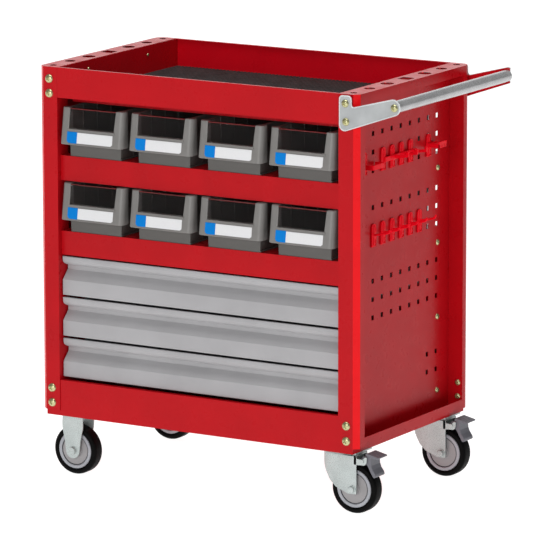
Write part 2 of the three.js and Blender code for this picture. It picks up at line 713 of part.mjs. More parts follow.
function swivelPlate(x, y) {
  const disc = (radius, z0, z1) => prismZ(circle(x, y, radius, 16), z0, z1);
  return union(
    casterPlate(x, y),
    disc(24, 124.4, PLATE_Z + 0.5),
    disc(6, 114, 125),
    disc(10, 112, 117.6),
  );
}

function swivelFork(x, y) {
  const outline = [
    [-45, 124],
    [-45, 110],
    [-42, 98],
    [-36, 84],
    [-22, 65],
    [-6, 53],
    [14, 46],
    [22, 42.5],
    [40, 42.5],
    [42, 45],
    [42, 104],
    [60, 105],
    [65, 110],
    [66, 121],
    [61, 121],
    [44, 118],
    [38, 124],
  ];
  const crown = cut(
    box(x - 45, x + 38, y - FORK_HALF, y + FORK_HALF, 118, 124),
    prismZ(circle(x, y, 6 + GAP, 16), 117, 125),
  );
  const nose = box(x - 45, x - 42, y - FORK_HALF, y + FORK_HALF, 110, 124);
  const pin = turnedY([[0, -25], [4, -25], [4, 25], [0, 25]], x + 56, y, 113, 12);
  return union(cheeks(outline, x, y), crown, nose, pin, axleSolid(x + TRAIL, y));
}

function brakePedal(x, y) {
  const outline = [
    [50, 108],
    [63, 103],
    [77, 84],
    [82, 80],
    [95, 84],
    [98, 91],
    [90, 103],
    [86, 115],
    [94, 118.5],
    [94, 121.5],
    [64, 129],
    [57, 125.5],
    [51, 119],
  ].map(([u, v]) => [x + u, v]);
  const narrow = prismY(outline, y - 14, y + 14);
  const tread = prismY([
    [x + 62, 124.3],
    [x + 93, 116.8],
    [x + 95, 119.3],
    [x + 94, 122.3],
    [x + 64, 130],
    [x + 61, 129.3],
  ], y - 19.5, y + 19.5);
  const bore = 4 + AXLE_PLAY;
  const pinHole = turnedY([[0, -30], [bore, -30], [bore, 30], [0, 30]], x + 56, y, 113, 12);
  return cut(union(narrow, tread), pinHole);
}

[['front', -1], ['rear', 1]].forEach(([end, sign]) => {
  const y = sign * CASTER_Y;
  add(`fixed_caster_fork_${end}`, fixedFork(-CASTER_X, y), ZINC());
  add(`fixed_caster_hub_${end}`, turnedY(hubProfile(), -CASTER_X, y, WHEEL_RADIUS), HUB_GREY());
  add(`fixed_caster_tyre_${end}`, turnedY(TYRE_PROFILE, -CASTER_X, y, WHEEL_RADIUS), RUBBER());
  add(`swivel_caster_plate_${end}`, swivelPlate(CASTER_X, y), ZINC());
  add(`swivel_caster_fork_${end}`, swivelFork(CASTER_X, y), ZINC());
  add(`swivel_caster_hub_${end}`, turnedY(hubProfile(), CASTER_X + TRAIL, y, WHEEL_RADIUS), HUB_GREY());
  add(`swivel_caster_tyre_${end}`, turnedY(TYRE_PROFILE, CASTER_X + TRAIL, y, WHEEL_RADIUS), RUBBER());
  add(`brake_pedal_${end}`, brakePedal(CASTER_X, y), PEDAL_GREY());
});

export default chest;
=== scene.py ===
"""Looks of the rolling tool chest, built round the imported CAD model. Lengths are in millimetres times MM."""

import math

import bmesh
import bpy
from mathutils import Matrix, Vector


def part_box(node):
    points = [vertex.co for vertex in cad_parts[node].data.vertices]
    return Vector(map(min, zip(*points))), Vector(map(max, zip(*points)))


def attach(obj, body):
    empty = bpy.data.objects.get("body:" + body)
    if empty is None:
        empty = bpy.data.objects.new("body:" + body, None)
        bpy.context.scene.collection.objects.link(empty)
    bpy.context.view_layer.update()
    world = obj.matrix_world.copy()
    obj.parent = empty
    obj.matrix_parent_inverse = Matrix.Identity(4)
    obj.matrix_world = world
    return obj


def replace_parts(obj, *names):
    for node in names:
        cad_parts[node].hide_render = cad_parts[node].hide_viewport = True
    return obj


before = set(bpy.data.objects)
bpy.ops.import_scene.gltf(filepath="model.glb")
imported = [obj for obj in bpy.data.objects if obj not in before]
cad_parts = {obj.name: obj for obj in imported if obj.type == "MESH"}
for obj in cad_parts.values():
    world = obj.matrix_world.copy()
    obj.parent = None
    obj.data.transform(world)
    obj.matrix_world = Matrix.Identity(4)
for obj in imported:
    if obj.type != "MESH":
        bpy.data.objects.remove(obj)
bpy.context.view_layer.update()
MM = 0.001

# ---- driving dimensions, in millimetres ----
BIN_PITCH = 167.0
BIN_WALL = 2.4
BIN_BODY = 64.0  # half width of the box
BIN_FRONT = 76.25  # half width of the hopper
BIN_DEPTH = 398.0
BIN_HEIGHT = 103.5
BIN_FLOOR = 2.6
BIN_RIBS = 7  # on each inner wall
BIN_RIB_START = 48.0
BIN_RIB_PITCH = 53.0
HOPPER_BOTTOM = 27.0
HOPPER_REACH = 21.0
HOPPER_LEAN = 11.0
OPENING = 56.0  # half width of the bin opening
SILL = 59.0

DRAWER_SHEET = 1.2
DRAWER_HEIGHT = 84.0
DRAWER_EDGE = 1.6  # from the top of the CAD front down to the sheet's edge
GROOVE = 19.5  # depth of the finger groove

MAT_RIB_PITCH = 8.7
MAT_GROOVE = 1.8

POST_BOLT_X = 355.0
POST_BOLT_Y = 235.0
POST_BOLT_Z = (843.0, 812.5, 189.0, 157.5)
FLANGE_BOLT_X = 370.0
FLANGE_BOLT_Y = 205.0
FLANGE_BOLT_Z = (197.8, 168.2)
PANEL_X = 347.0
PANEL_BOLT_Y = (("rear", 156.4), ("front", -178.0))
PANEL_BOLT_Z = (659.7, 502.0, 344.9, 188.0)
TRAY_SCREW_X = -333.5
TRAY_SCREWS = ((113.8, 848.3), (-118.2, 849.7))
RAIL_X = 358.5
RAIL_HALF = 15.0
RAIL_END = 225.0
RAIL_TOP = 868.0
RAIL_DEPTH = 1.6  # the walls of the rail holes lie above it
HOOK_X = PANEL_X + 0.3  # back of the hook plates
SLOT_PITCH = 38.0

WHEEL_R = 52.0
RIM_R = 40.0
TYRE_HALF = 15.5
TYRE_SHOULDER = 7.0
CASTER_X = 322.0
CASTER_Y = 187.0
TRAIL = 31.6
FORK_HALF = 23.0
FORK_SHEET = 2.5
FORK_NOSE = -45.0
FORK_NOSE_LENGTH = 59.0
FORK_TAIL = 42.0
PEDAL_PIN = (57.0, 113.0)

HANDLE_X = 465.0
HANDLE_Z = 850.0
HANDLE_RADIUS = 12.3
BRACKET_Y = 235.3
BRACKET_TIP = 17.0
BRACKET_CUT = 5.0
BRACKET_LOBE = 8.0
HANDLE_BOLTS = ((355.5, 850.0), (357.0, 813.0), (468.0, 849.5))
HANDLE_BOLT_Y = 241.5


# ---- materials ----
def new_material(name, color, roughness, metallic=0.0, **sockets):
    """A material with a Principled shader; sockets are further inputs by their names with spaces as _."""
    mat = bpy.data.materials.new(name)
    mat.use_nodes = True
    shader = mat.node_tree.nodes["Principled BSDF"]
    shader.inputs["Base Color"].default_value = (*color, 1.0)
    shader.inputs["Roughness"].default_value = roughness
    shader.inputs["Metallic"].default_value = metallic
    for key, value in sockets.items():
        shader.inputs[key.replace("_", " ")].default_value = value
    return mat


def noise(mat, scale, detail=3.0, stretch=(1.0, 1.0, 1.0), roughness=0.55):
    """Noise on object coordinates, in cycles per metre; returns its factor socket."""
    nodes, links = mat.node_tree.nodes, mat.node_tree.links
    where = nodes.new("ShaderNodeTexCoord")
    mapping = nodes.new("ShaderNodeMapping")
    mapping.inputs["Scale"].default_value = stretch
    texture = nodes.new("ShaderNodeTexNoise")
    texture.inputs["Scale"].default_value = scale
    texture.inputs["Detail"].default_value = detail
    texture.inputs["Roughness"].default_value = roughness
    links.new(where.outputs["Object"], mapping.inputs["Vector"])
    links.new(mapping.outputs["Vector"], texture.inputs["Vector"])
    return texture.outputs["Fac"]


def ranged(mat, socket, low, high, from_low=0.3, from_high=0.7):
    """The socket's values from from_low to from_high, mapped to low and high."""
    node = mat.node_tree.nodes.new("ShaderNodeMapRange")
    node.inputs["From Min"].default_value = from_low
    node.inputs["From Max"].default_value = from_high
    node.inputs["To Min"].default_value = low
    node.inputs["To Max"].default_value = high
    mat.node_tree.links.new(socket, node.inputs["Value"])
    return node.outputs["Result"]


def blend_colors(mat, socket, first, second):
    node = mat.node_tree.nodes.new("ShaderNodeMix")
    node.data_type = "RGBA"
    node.inputs["A"].default_value = (*first, 1.0)
    node.inputs["B"].default_value = (*second, 1.0)
    mat.node_tree.links.new(socket, node.inputs["Factor"])
    return node.outputs["Result"]


def drive(mat, socket, name):
    """Feeds the socket into the named input of the material's shader."""
    mat.node_tree.links.new(socket, mat.node_tree.nodes["Principled BSDF"].inputs[name])


def bump(mat, socket, strength, distance):
    node = mat.node_tree.nodes.new("ShaderNodeBump")
    node.inputs["Strength"].default_value = strength
    node.inputs["Distance"].default_value = distance
    mat.node_tree.links.new(socket, node.inputs["Height"])
    drive(mat, node.outputs["Normal"], "Normal")


def shade_of(color, factor):
    return tuple(min(1.0, c * factor) for c in color)


def coated(name, color, roughness=0.3, gloss=0.12):
    """Powder-coated sheet: orange peel, cloudy gloss and a slightly uneven coat."""
    mat = new_material(name, color, roughness, Specular_IOR_Level=gloss)
    patches = ranged(mat, noise(mat, 9.0), 0.0, 1.0)
    drive(mat, blend_colors(mat, patches, shade_of(color, 0.94), shade_of(color, 1.05)), "Base Color")
    drive(mat, ranged(mat, noise(mat, 40.0), roughness - 0.05, roughness + 0.06), "Roughness")
    bump(mat, noise(mat, 620.0, detail=2.0), 0.07, 0.0003)
    return mat


def moulded(name, color, roughness=0.5):
    """Moulded plastic: a fine spark-eroded grain over faint flow marks."""
    mat = new_material(name, color, roughness)
    flow = ranged(mat, noise(mat, 14.0, stretch=(1.0, 1.0, 2.5)), 0.0, 1.0)
    drive(mat, blend_colors(mat, flow, shade_of(color, 0.92), shade_of(color, 1.08)), "Base Color")
    drive(mat, ranged(mat, noise(mat, 300.0), roughness - 0.07, roughness + 0.07), "Roughness")
    bump(mat, noise(mat, 1500.0, detail=2.0), 0.18, 0.0003)
    return mat


def plated(name, color, roughness=0.3, grain=(1.0, 1.0, 1.0), metallic=0.9):
    """Plated or brushed metal: cloudy tone and a drawn grain."""
    mat = new_material(name, color, roughness, metallic)
    cloud = ranged(mat, noise(mat, 30.0, detail=4.0), 0.0, 1.0)
    drive(mat, blend_colors(mat, cloud, shade_of(color, 0.88), shade_of(color, 1.08)), "Base Color")
    lines = noise(mat, 700.0, detail=4.0, stretch=grain)
    drive(mat, ranged(mat, lines, roughness - 0.08, roughness + 0.12), "Roughness")
    bump(mat, lines, 0.08, 0.0002)
    return mat


def rubber(name, color, roughness=0.6, gloss=0.15):
    """Rubber: a dusty tone over a fine matt grain."""
    mat = new_material(name, color, roughness, Specular_IOR_Level=gloss)
    dust = ranged(mat, noise(mat, 60.0, detail=5.0), 0.0, 1.0)
    drive(mat, blend_colors(mat, dust, color, shade_of(color, 1.9)), "Base Color")
    drive(mat, ranged(mat, noise(mat, 200.0), roughness - 0.1, roughness + 0.1), "Roughness")
    bump(mat, noise(mat, 2200.0), 0.15, 0.0003)
    return mat


def printed(name, color):
    """Card label: faint paper fibre."""
    mat = new_material(name, color, 0.55, Specular_IOR_Level=0.1)
    fibre = ranged(mat, noise(mat, 900.0, detail=5.0, stretch=(1.0, 1.0, 0.3)), 0.0, 1.0)
    drive(mat, blend_colors(mat, fibre, shade_of(color, 0.95), color), "Base Color")
    bump(mat, noise(mat, 1800.0), 0.05, 0.0001)
    return mat


RED = coated("red_coat", (0.46, 0.0035, 0.008))
# painted shade: a near-black red for the walls of the punched rail holes, standing in for the shadow inside
# them
RED_PAINTED_SHADE = coated("red_coat_painted_shade", (0.07, 0.001, 0.002), 0.5, 0.05)
# painted light: a brighter copy of the red coat for the inner face of the tray's rear wall
RED_BACK_PAINTED_LIGHT = coated("red_coat_back_wall_painted_light", (0.70, 0.003, 0.012))
# painted highlight: a brighter red for the front chamfers, standing in for the light they catch
RED_CHAMFER_PAINTED_HIGHLIGHT = coated("red_coat_chamfer_painted_highlight", (0.80, 0.007, 0.011))
HOOK_RED = coated("hook_coat", (0.85, 0.004, 0.015), 0.3, 0.05)
GREY = coated("grey_coat", (0.38, 0.375, 0.385), 0.36, 0.2)
BIN = moulded("bin_plastic", (0.175, 0.168, 0.160), 0.42)
# painted shade: a darker copy of the bin plastic, standing in for the shade under the hopper and inside the
# bin
BIN_PAINTED_SHADE = moulded("bin_plastic_painted_shade", (0.092, 0.086, 0.080), 0.5)
PEDAL = moulded("pedal_plastic", (0.13, 0.13, 0.15), 0.45)
HUB = moulded("hub_plastic", (0.35, 0.36, 0.39), 0.42)
HUB_GROOVE = moulded("hub_groove_plastic", (0.05, 0.05, 0.055), 0.6)
HUB_DISC = moulded("hub_disc_plastic", (0.29, 0.28, 0.285), 0.42)
TYRE = rubber("tyre_rubber", (0.002, 0.002, 0.002), 0.5, 0.05)
MAT = rubber("mat_rubber", (0.03, 0.026, 0.026), 0.62)
ZINC = plated("zinc_plate", (0.46, 0.51, 0.50), 0.28, metallic=0.4)
COVER = plated("cover_metal", (0.43, 0.445, 0.45), 0.4, (1.0, 1.0, 8.0), 0.55)
# painted highlight: a brighter metal for the cover's rim, standing in for the glint on its rolled edge
COVER_RIM_PAINTED_HIGHLIGHT = plated("cover_rim_metal_painted_highlight", (0.66, 0.68, 0.69), 0.3, (1.0, 1.0, 1.0), 0.6)
TUBE = plated("tube_metal", (0.45, 0.45, 0.455), 0.26, (8.0, 0.3, 8.0), 0.48)
BOLT = plated("yellow_zinc", (0.52, 0.50, 0.27), 0.28)
WHITE_CARD = printed("white_card", (0.72, 0.72, 0.73))
BLUE_CARD = printed("blue_card", (0.0, 0.19, 0.60))
CLEAR = new_material("clear_window", (0.92, 0.9, 0.9), 0.06, Transmission_Weight=1.0, IOR=1.3)
# painted reflection: the window's top strip is tinted dark red, standing in for the red apron reflected in it
CLEAR_RIM_PAINTED_REFLECTION = new_material("clear_window_rim_painted_reflection", (0.20, 0.03, 0.03), 0.2, Alpha=0.85)
for clear in (CLEAR, CLEAR_RIM_PAINTED_REFLECTION):
    drive(clear, ranged(clear, noise(clear, 25.0), 0.04, 0.12), "Roughness")


# ---- mesh helpers ----
def arc(cx, cy, radius, start, end, steps):
    """Points on an arc, angles in degrees."""
    angles = [math.radians(start + (end - start) * i / steps) for i in range(steps + 1)]
    return [(cx + radius * math.cos(a), cy + radius * math.sin(a)) for a in angles]


def rounded(path, radius, steps=4, closed=False):
    """The path with each bend replaced by a round of that radius, where it fits."""
    result = []
    count = len(path)
    for i, point in enumerate(path):
        if not closed and i in (0, count - 1):
            result.append(point)
            continue
        here = Vector(point)
        before, after = Vector(path[i - 1]) - here, Vector(path[(i + 1) % count]) - here
        half = before.angle(after) / 2
        reach = min(radius / math.tan(half), before.length / 2, after.length / 2)
        start, end = here + before.normalized() * reach, here + after.normalized() * reach
        for k in range(steps + 1):
            t = k / steps
            spot = start * (1 - t) ** 2 + here * 2 * t * (1 - t) + end * t * t
            result.append(tuple(spot))
    return result


def strip(path, thickness):
    """Closed outline of a bent sheet whose outer side is the path and which lies to its left."""
    inner = []
    for i, point in enumerate(path):
        before = Vector(point) - Vector(path[max(i - 1, 0)])
        after = Vector(path[min(i + 1, len(path) - 1)]) - Vector(point)
        a = (before if i > 0 else after).normalized()
        b = (after if i < len(path) - 1 else before).normalized()
        scale = thickness / (1 + a.dot(b))
        inner.append((point[0] - (a.y + b.y) * scale, point[1] + (a.x + b.x) * scale))
    return list(path) + inner[::-1]


PLACE = {
    "x": lambda u, v, w: (w, u, v),
    "y": lambda u, v, w: (u, w, v),
    "z": lambda u, v, w: (u, v, w),
}


def rectangle(u0, u1, v0, v1):
    return [(u0, v0), (u1, v0), (u1, v1), (u0, v1)]


def prism(bm, outline, axis, low, high):
    """Adds the outline, run along axis from low to high, as a closed solid."""
    rings = []
    for w in (low, high):
        rings.append([bm.verts.new(Vector(PLACE[axis](u, v, w)) * MM) for u, v in outline])
    bm.faces.new(rings[0][::-1])
    bm.faces.new(rings[1])
    count = len(outline)
    for i in range(count):
        k = (i + 1) % count
        bm.faces.new((rings[0][i], rings[0][k], rings[1][k], rings[1][i]))


def block(bm, x0, x1, y0, y1, z0, z1):
    prism(bm, rectangle(x0, x1, y0, y1), "z", z0, z1)


def lathe(bm, profile, axis="y", centre=(0, 0, 0), sides=64):
    """Adds a body turned about an axis through centre. The profile is (radius, along)."""
    rings = []
    for radius, along in profile:
        turns = 1 if radius < 1e-6 else sides
        ring = []
        for i in range(turns):
            angle = 2 * math.pi * i / sides
            u, v = radius * math.cos(angle), radius * math.sin(angle)
            ring.append(bm.verts.new((Vector(PLACE[axis](u, v, along)) + Vector(centre)) * MM))
        rings.append(ring)
    on_axis = len(rings[0]) == 1 and len(rings[-1]) == 1
    pairs = list(zip(rings, rings[1:])) + ([] if on_axis else [(rings[-1], rings[0])])
    for first, second in pairs:
        for i in range(sides):
            k = (i + 1) % sides
            around = ((first, i), (first, k), (second, k), (second, i))
            corners = list(dict.fromkeys(ring[n % len(ring)] for ring, n in around))
            if len(corners) > 2:
                bm.faces.new(corners)


def finish_object(name, bm, *materials, bevel=0.0, segments=2, angle=32.0):
    """Turns the bmesh into an object with clean normals, soft edges and its materials."""
    bmesh.ops.recalc_face_normals(bm, faces=bm.faces)
    mesh = bpy.data.meshes.new(name)
    bm.to_mesh(mesh)
    bm.free()
    obj = bpy.data.objects.new(name, mesh)
    bpy.context.scene.collection.objects.link(obj)
    for material in materials:
        mesh.materials.append(material)
    soften(obj, bevel, segments, angle)
    return obj


def soften(obj, bevel, segments=2, angle=32.0):
    """Smooth shading up to an angle in degrees, and a bevel in millimetres on what is sharper."""
    mesh = obj.data
    mesh.polygons.foreach_set("use_smooth", [True] * len(mesh.polygons))
    mesh.set_sharp_from_angle(angle=math.radians(angle))
    if bevel:
        modifier = obj.modifiers.new("soft_edges", "BEVEL")
        modifier.width = bevel * MM
        modifier.segments = segments
        modifier.limit_method = "ANGLE"
        modifier.angle_limit = math.radians(angle)
        modifier.use_clamp_overlap = True
        modifier.harden_normals = True


def baked(obj):
    """Applies the object's modifiers."""
    depsgraph = bpy.context.evaluated_depsgraph_get()
    mesh = bpy.data.meshes.new_from_object(obj.evaluated_get(depsgraph))
    obj.modifiers.clear()
    obj.data = mesh
    return obj


def carve(target, tool, operation="DIFFERENCE"):
    """Cuts the tool out of the target, or keeps what they share, and removes the tool."""
    modifier = target.modifiers.new("carve", "BOOLEAN")
    modifier.operation = operation
    modifier.solver = "EXACT"
    modifier.use_self = True
    modifier.object = tool
    baked(target)
    bpy.data.objects.remove(tool)
    return target


def joined(name, objects):
    """One object from several, with their modifiers applied."""
    bm = bmesh.new()
    materials = []
    for obj in objects:
        baked(obj)
        mesh = obj.data
        offset = []
        for material in mesh.materials:
            if material not in materials:
                materials.append(material)
            offset.append(materials.index(material))
        start = len(bm.faces)
        mesh.transform(obj.matrix_world)
        bm.from_mesh(mesh)
        bm.faces.ensure_lookup_table()
        for face in bm.faces[start:]:
            face.material_index = offset[face.material_index] if offset else 0
        bpy.data.objects.remove(obj)
    mesh = bpy.data.meshes.new(name)
    bm.to_mesh(mesh)
    bm.free()
    for material in materials:
        mesh.materials.append(material)
    obj = bpy.data.objects.new(name, mesh)
    bpy.context.scene.collection.objects.link(obj)
    return obj


def placed(mesh_owner, name, location, rotation=None):
    """A linked copy of the object's mesh at a place in millimetres."""
    copy = bpy.data.objects.new(name, mesh_owner.data)
    bpy.context.scene.collection.objects.link(copy)
    copy.matrix_world = Matrix.Translation(Vector(location) * MM) @ (rotation or Matrix.Identity(4))
    return copy


def rod(name, points, radius, material, sides=3):
    """Round bar through points in millimetres."""
    curve = bpy.data.curves.new(name, "CURVE")
    curve.dimensions = "3D"
    curve.bevel_depth = radius * MM
    curve.bevel_resolution = sides
    curve.use_fill_caps = True
    spline = curve.splines.new("POLY")
    spline.points.add(len(points) - 1)
    for point, place in zip(spline.points, points):
        point.co = (*(Vector(place) * MM), 1.0)
    source = bpy.data.objects.new(name, curve)
    bpy.context.scene.collection.objects.link(source)
    depsgraph = bpy.context.evaluated_depsgraph_get()
    mesh = bpy.data.meshes.new_from_object(source.evaluated_get(depsgraph))
    bpy.data.objects.remove(source)
    obj = bpy.data.objects.new(name, mesh)
    bpy.context.scene.collection.objects.link(obj)
    mesh.materials.append(material)
    soften(obj, 0.0, angle=50.0)
    return obj


def side_piece(name, outline, x, low, high, *materials, **finish):
    """A solid whose outline is given in (x, z), with x counted from x, between low and high along Y."""
    bm = bmesh.new()
    prism(bm, [(x + u, v) for u, v in outline], "y", low, high)
    return finish_object(name, bm, *materials, **finish)


# ---- CAD pieces that stay, with their finish ----
def keep(node, material, bevel):
    """Gives a CAD node its material and soft edges."""
    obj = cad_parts[node]
    obj.data.materials.clear()
    obj.data.materials.append(material)
    soften(obj, bevel, angle=35.0)


STEEL = ["side_frame_left", "side_frame_right", "side_panel_left", "side_panel_right", "top_tray"]
STEEL += ["bin_shelf_upper", "bin_shelf_lower", "base_pan", "back_panel"]
for steel in STEEL:
    keep(steel, RED, 0.45)
for level in ("upper", "middle", "lower"):
    keep(f"drawer_box_{level}", GREY, 0.3)
    for side in ("left", "right"):
        keep(f"drawer_runner_{side}_{level}", ZINC, 0.3)


def shade_frame(side, sign):
    """Painted shade: a darker coat on the walls inside the punched rail holes. Painted highlight: a brighter
    coat on the front chamfer.
    """
    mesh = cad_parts[f"side_frame_{side}"].data
    mesh.materials.append(RED_PAINTED_SHADE)
    mesh.materials.append(RED_CHAMFER_PAINTED_HIGHLIGHT)
    for polygon in mesh.polygons:
        x, y, z = polygon.center / MM
        on_rail = abs(abs(x) - RAIL_X) < RAIL_HALF and abs(y) < RAIL_END and z > RAIL_TOP - RAIL_DEPTH
        # painted shade on the walls of the rail holes
        if on_rail and abs(polygon.normal.z) < 0.5:
            polygon.material_index = 1
        # painted highlight on the front chamfer
        if polygon.normal.x * sign > 0.5 and polygon.normal.y < -0.5:
            polygon.material_index = 2


for side, sign in (("left", -1), ("right", 1)):
    shade_frame(side, sign)


def shade_tray():
    """Painted light: a brighter coat on the inner face of the tray's rear wall, standing in for the light that
    falls on it.
    """
    near_rear = 200.0
    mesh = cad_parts["top_tray"].data
    mesh.materials.append(RED_BACK_PAINTED_LIGHT)
    for polygon in mesh.polygons:
        if polygon.normal.y < -0.5 and polygon.center.y / MM > near_rear:
            polygon.material_index = 1


shade_tray()


# ---- bins ----
def hopper_front(z):
    """Where the front of the hopper is at a height above the bin's foot."""
    return HOPPER_LEAN * (z - HOPPER_BOTTOM) / (BIN_HEIGHT - HOPPER_BOTTOM) - HOPPER_REACH


def lean(obj):
    """Slants the front of the hopper."""
    for vertex in obj.data.vertices:
        if vertex.co.y < 0:
            vertex.co.y += (hopper_front(vertex.co.z / MM) + HOPPER_REACH) * MM
    return obj


def bin_hopper():
    """Hopper with round front corners, open towards the front and into the box behind it."""
    corner, rear, above = 11.0, 6.0, BIN_HEIGHT + 10
    turn = arc(BIN_FRONT - corner, corner - HOPPER_REACH, corner, -90, 0, 5)
    right = [(BIN_FRONT - corner, -HOPPER_REACH), *turn[1:]]
    plan = [*right, (BIN_FRONT, rear), (-BIN_FRONT, rear), *[(-x, y) for x, y in right[::-1]]]
    bm = bmesh.new()
    prism(bm, plan, "z", HOPPER_BOTTOM, BIN_HEIGHT)
    hopper = lean(finish_object("hopper", bm, BIN))
    mouth = [(1 - OPENING, SILL), (OPENING - 2, SILL), (OPENING + 1, above), (-OPENING, above)]
    bm = bmesh.new()
    prism(bm, mouth, "y", -40, 20)
    block(bm, -BIN_BODY + BIN_WALL, BIN_BODY - BIN_WALL, BIN_WALL, 20, 0, BIN_HEIGHT + 5)
    carve(hopper, finish_object("opening", bm))
    soften(hopper, 1.6, 3, 40.0)
    return hopper


def bin_section(half, top):
    """Cross-section of the box in (x, z): sides that taper to a foot with round corners."""
    foot = BIN_BODY - 2.5
    return rounded([(-half, top), (-foot, BIN_FLOOR), (foot, BIN_FLOOR), (half, top)], 3.5)


def bin_box():
    """Box with a low front, a rim along its top edges and ribs on its inner walls, in a darker copy of the bin
    plastic as painted shade.
    """
    rim, rim_low = BIN_BODY + 3.2, BIN_HEIGHT - 2.6
    section = bin_section(BIN_BODY, BIN_HEIGHT)
    bm = bmesh.new()
    prism(bm, strip(section, BIN_WALL), "y", BIN_WALL, BIN_DEPTH - BIN_WALL)
    prism(bm, bin_section(BIN_BODY - 0.7, SILL), "y", 0, BIN_WALL)
    prism(bm, section, "y", BIN_DEPTH - BIN_WALL, BIN_DEPTH)
    for side in (-1, 1):
        edges = sorted((side * (BIN_BODY - 0.4), side * rim))
        block(bm, *edges, 6, BIN_DEPTH, rim_low, BIN_HEIGHT)
        inner = side * (BIN_BODY - BIN_WALL)
        edges = sorted((inner + side * 0.5, inner - side * 1.8))
        for i in range(BIN_RIBS):
            y = BIN_RIB_START + i * BIN_RIB_PITCH
            block(bm, *edges, y, y + 3.2, 5, BIN_HEIGHT - 3)
    block(bm, -rim, rim, BIN_DEPTH - 1, BIN_DEPTH + 2, rim_low, BIN_HEIGHT)
    foot = rectangle(1 - BIN_BODY, BIN_BODY - 1, 0.2, BIN_DEPTH - 1)
    prism(bm, rounded(foot, 3.0, 3, closed=True), "z", 0, 3.2)
    return finish_object("bin_box", bm, BIN_PAINTED_SHADE, bevel=0.6)


def on_hopper(bm, outline, proud, thickness):
    """Adds a flat piece, outlined in (x, z), on the slanted front of the hopper."""
    rings = []
    for shift in (-proud, thickness - proud):
        rings.append([bm.verts.new(Vector((x, hopper_front(z) + shift, z)) * MM) for x, z in outline])
    bm.faces.new(rings[0])
    bm.faces.new(rings[1][::-1])
    for i in range(len(outline)):
        k = (i + 1) % len(outline)
        bm.faces.new((rings[0][i], rings[0][k], rings[1][k], rings[1][i]))


def bin_trim():
    """Sill ledge and the blue and white label of a bin."""
    bm = bmesh.new()
    on_hopper(bm, rectangle(-OPENING - 1, OPENING + 1, 55.2, SILL + 1), 1.6, 5)
    ledge = finish_object("ledge", bm, BIN, bevel=0.7)
    blue_edge, left, right, low, high = -33.5, -58.0, 53.0, 31.5, 53.6
    blue_top = high + 0.8
    corner = arc(left + 7, low + 6.4, 7, 180, 270, 5)
    bm = bmesh.new()
    on_hopper(bm, [(blue_edge, low - 0.6), (blue_edge, blue_top), (left, blue_top), *corner], 0.7, 1.0)
    badge = finish_object("badge", bm, BLUE_CARD, bevel=0.15)
    card_edge = blue_edge + 0.2
    card = [(card_edge, low), (right - 4, low), (right, low + 3), (right, high), (card_edge, high)]
    bm = bmesh.new()
    on_hopper(bm, card, 0.6, 0.9)
    label = finish_object("label", bm, WHITE_CARD, bevel=0.15)
    return [ledge, badge, label]


def bin_window():
    """Clear pane in the mouth of the hopper, with a strip along its top edge tinted dark red as a painted
    reflection of the red apron above.
    """
    top = BIN_HEIGHT - 1.5
    edge = OPENING - 0.4
    bm = bmesh.new()
    on_hopper(bm, rectangle(-edge, edge, SILL + 0.5, top), -2.5, 1.4)
    pane = len(bm.faces)
    on_hopper(bm, rectangle(-edge, edge, top - 1.4, top), -1.0, 4.2)
    bm.faces.ensure_lookup_table()
    for face in bm.faces[pane:]:
        face.material_index = 1
    return finish_object("bin_window", bm, CLEAR, CLEAR_RIM_PAINTED_REFLECTION, bevel=0.2)


master_bin = joined("bin_master", [bin_hopper(), bin_box(), *bin_trim()])
master_window = baked(bin_window())
for row in ("upper", "lower"):
    for number in range(1, 5):
        node = f"bin_{row}_{number}"
        low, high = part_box(node)
        spot = ((number - 2.5) * BIN_PITCH, low.y / MM + HOPPER_REACH, low.z / MM)
        piece = placed(master_bin, f"{node}_body", spot)
        window = placed(master_window, f"{node}_window", spot)
        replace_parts(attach(piece, node), node)
        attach(window, node)
bpy.data.objects.remove(master_bin)
bpy.data.objects.remove(master_window)


# ---- ribbed mat ----
def tray_mat():
    """Rubber mat with grooves that run from front to rear."""
    low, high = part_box("tray_mat")
    x0, x1, z0, z1 = low.x / MM, high.x / MM, low.z / MM, high.z / MM
    floor = z1 - MAT_GROOVE
    outline = [(x0, z0), (x1, z0), (x1, z1)]
    for i in range(int((x1 - x0) / MAT_RIB_PITCH)):
        x = x1 - MAT_RIB_PITCH * (i + 0.5)
        outline += [(x + 2.4, z1), (x + 1.6, floor), (x - 1.6, floor), (x - 2.4, z1)]
    outline.append((x0, z1))
    bm = bmesh.new()
    prism(bm, outline, "y", low.y / MM, high.y / MM)
    piece = finish_object("tray_mat_ribs", bm, MAT)
    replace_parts(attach(piece, "chest"), "tray_mat")


tray_mat()


# ---- drawer fronts ----
def drawer_front(level):
    """Rolled front sheet: a lip with round lower corners over a finger groove."""
    node = f"drawer_front_{level}"
    low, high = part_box(node)
    top, face, half = high.z / MM, low.y / MM, high.x / MM
    path = rounded([
        (face + 4, top - DRAWER_EDGE),
        (face, top - DRAWER_EDGE),
        (face, top - 9),
        (face + 2.5, top - 15),
        (face + 8, top - 19.5),
        (face + GROOVE, top - 21),
        (face + GROOVE, top - 31.5),
        (face, top - 51),
        (face, top - DRAWER_HEIGHT),
        (face + 15, top - DRAWER_HEIGHT),
    ], 2.6)
    bm = bmesh.new()
    prism(bm, strip(path, DRAWER_SHEET), "x", -half, half)
    piece = finish_object(f"{node}_sheet", bm, GREY)
    radius, lip_end = 8.0, top - 20.5
    beyond, below = half + 1, lip_end - 1.5
    corner = arc(half - radius, lip_end + radius, radius, 0, -90, 6)
    corner += [(half - radius, below), (beyond, below), (beyond, lip_end + radius)]
    bm = bmesh.new()
    for side in (-1, 1):
        prism(bm, [(side * x, z) for x, z in corner], "y", face - 1, face + GROOVE - 2)
    carve(piece, finish_object("lip_corners", bm))
    soften(piece, 0.25)
    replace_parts(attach(piece, f"drawer_{level}"), node)


for level in ("upper", "middle", "lower"):
    drawer_front(level)


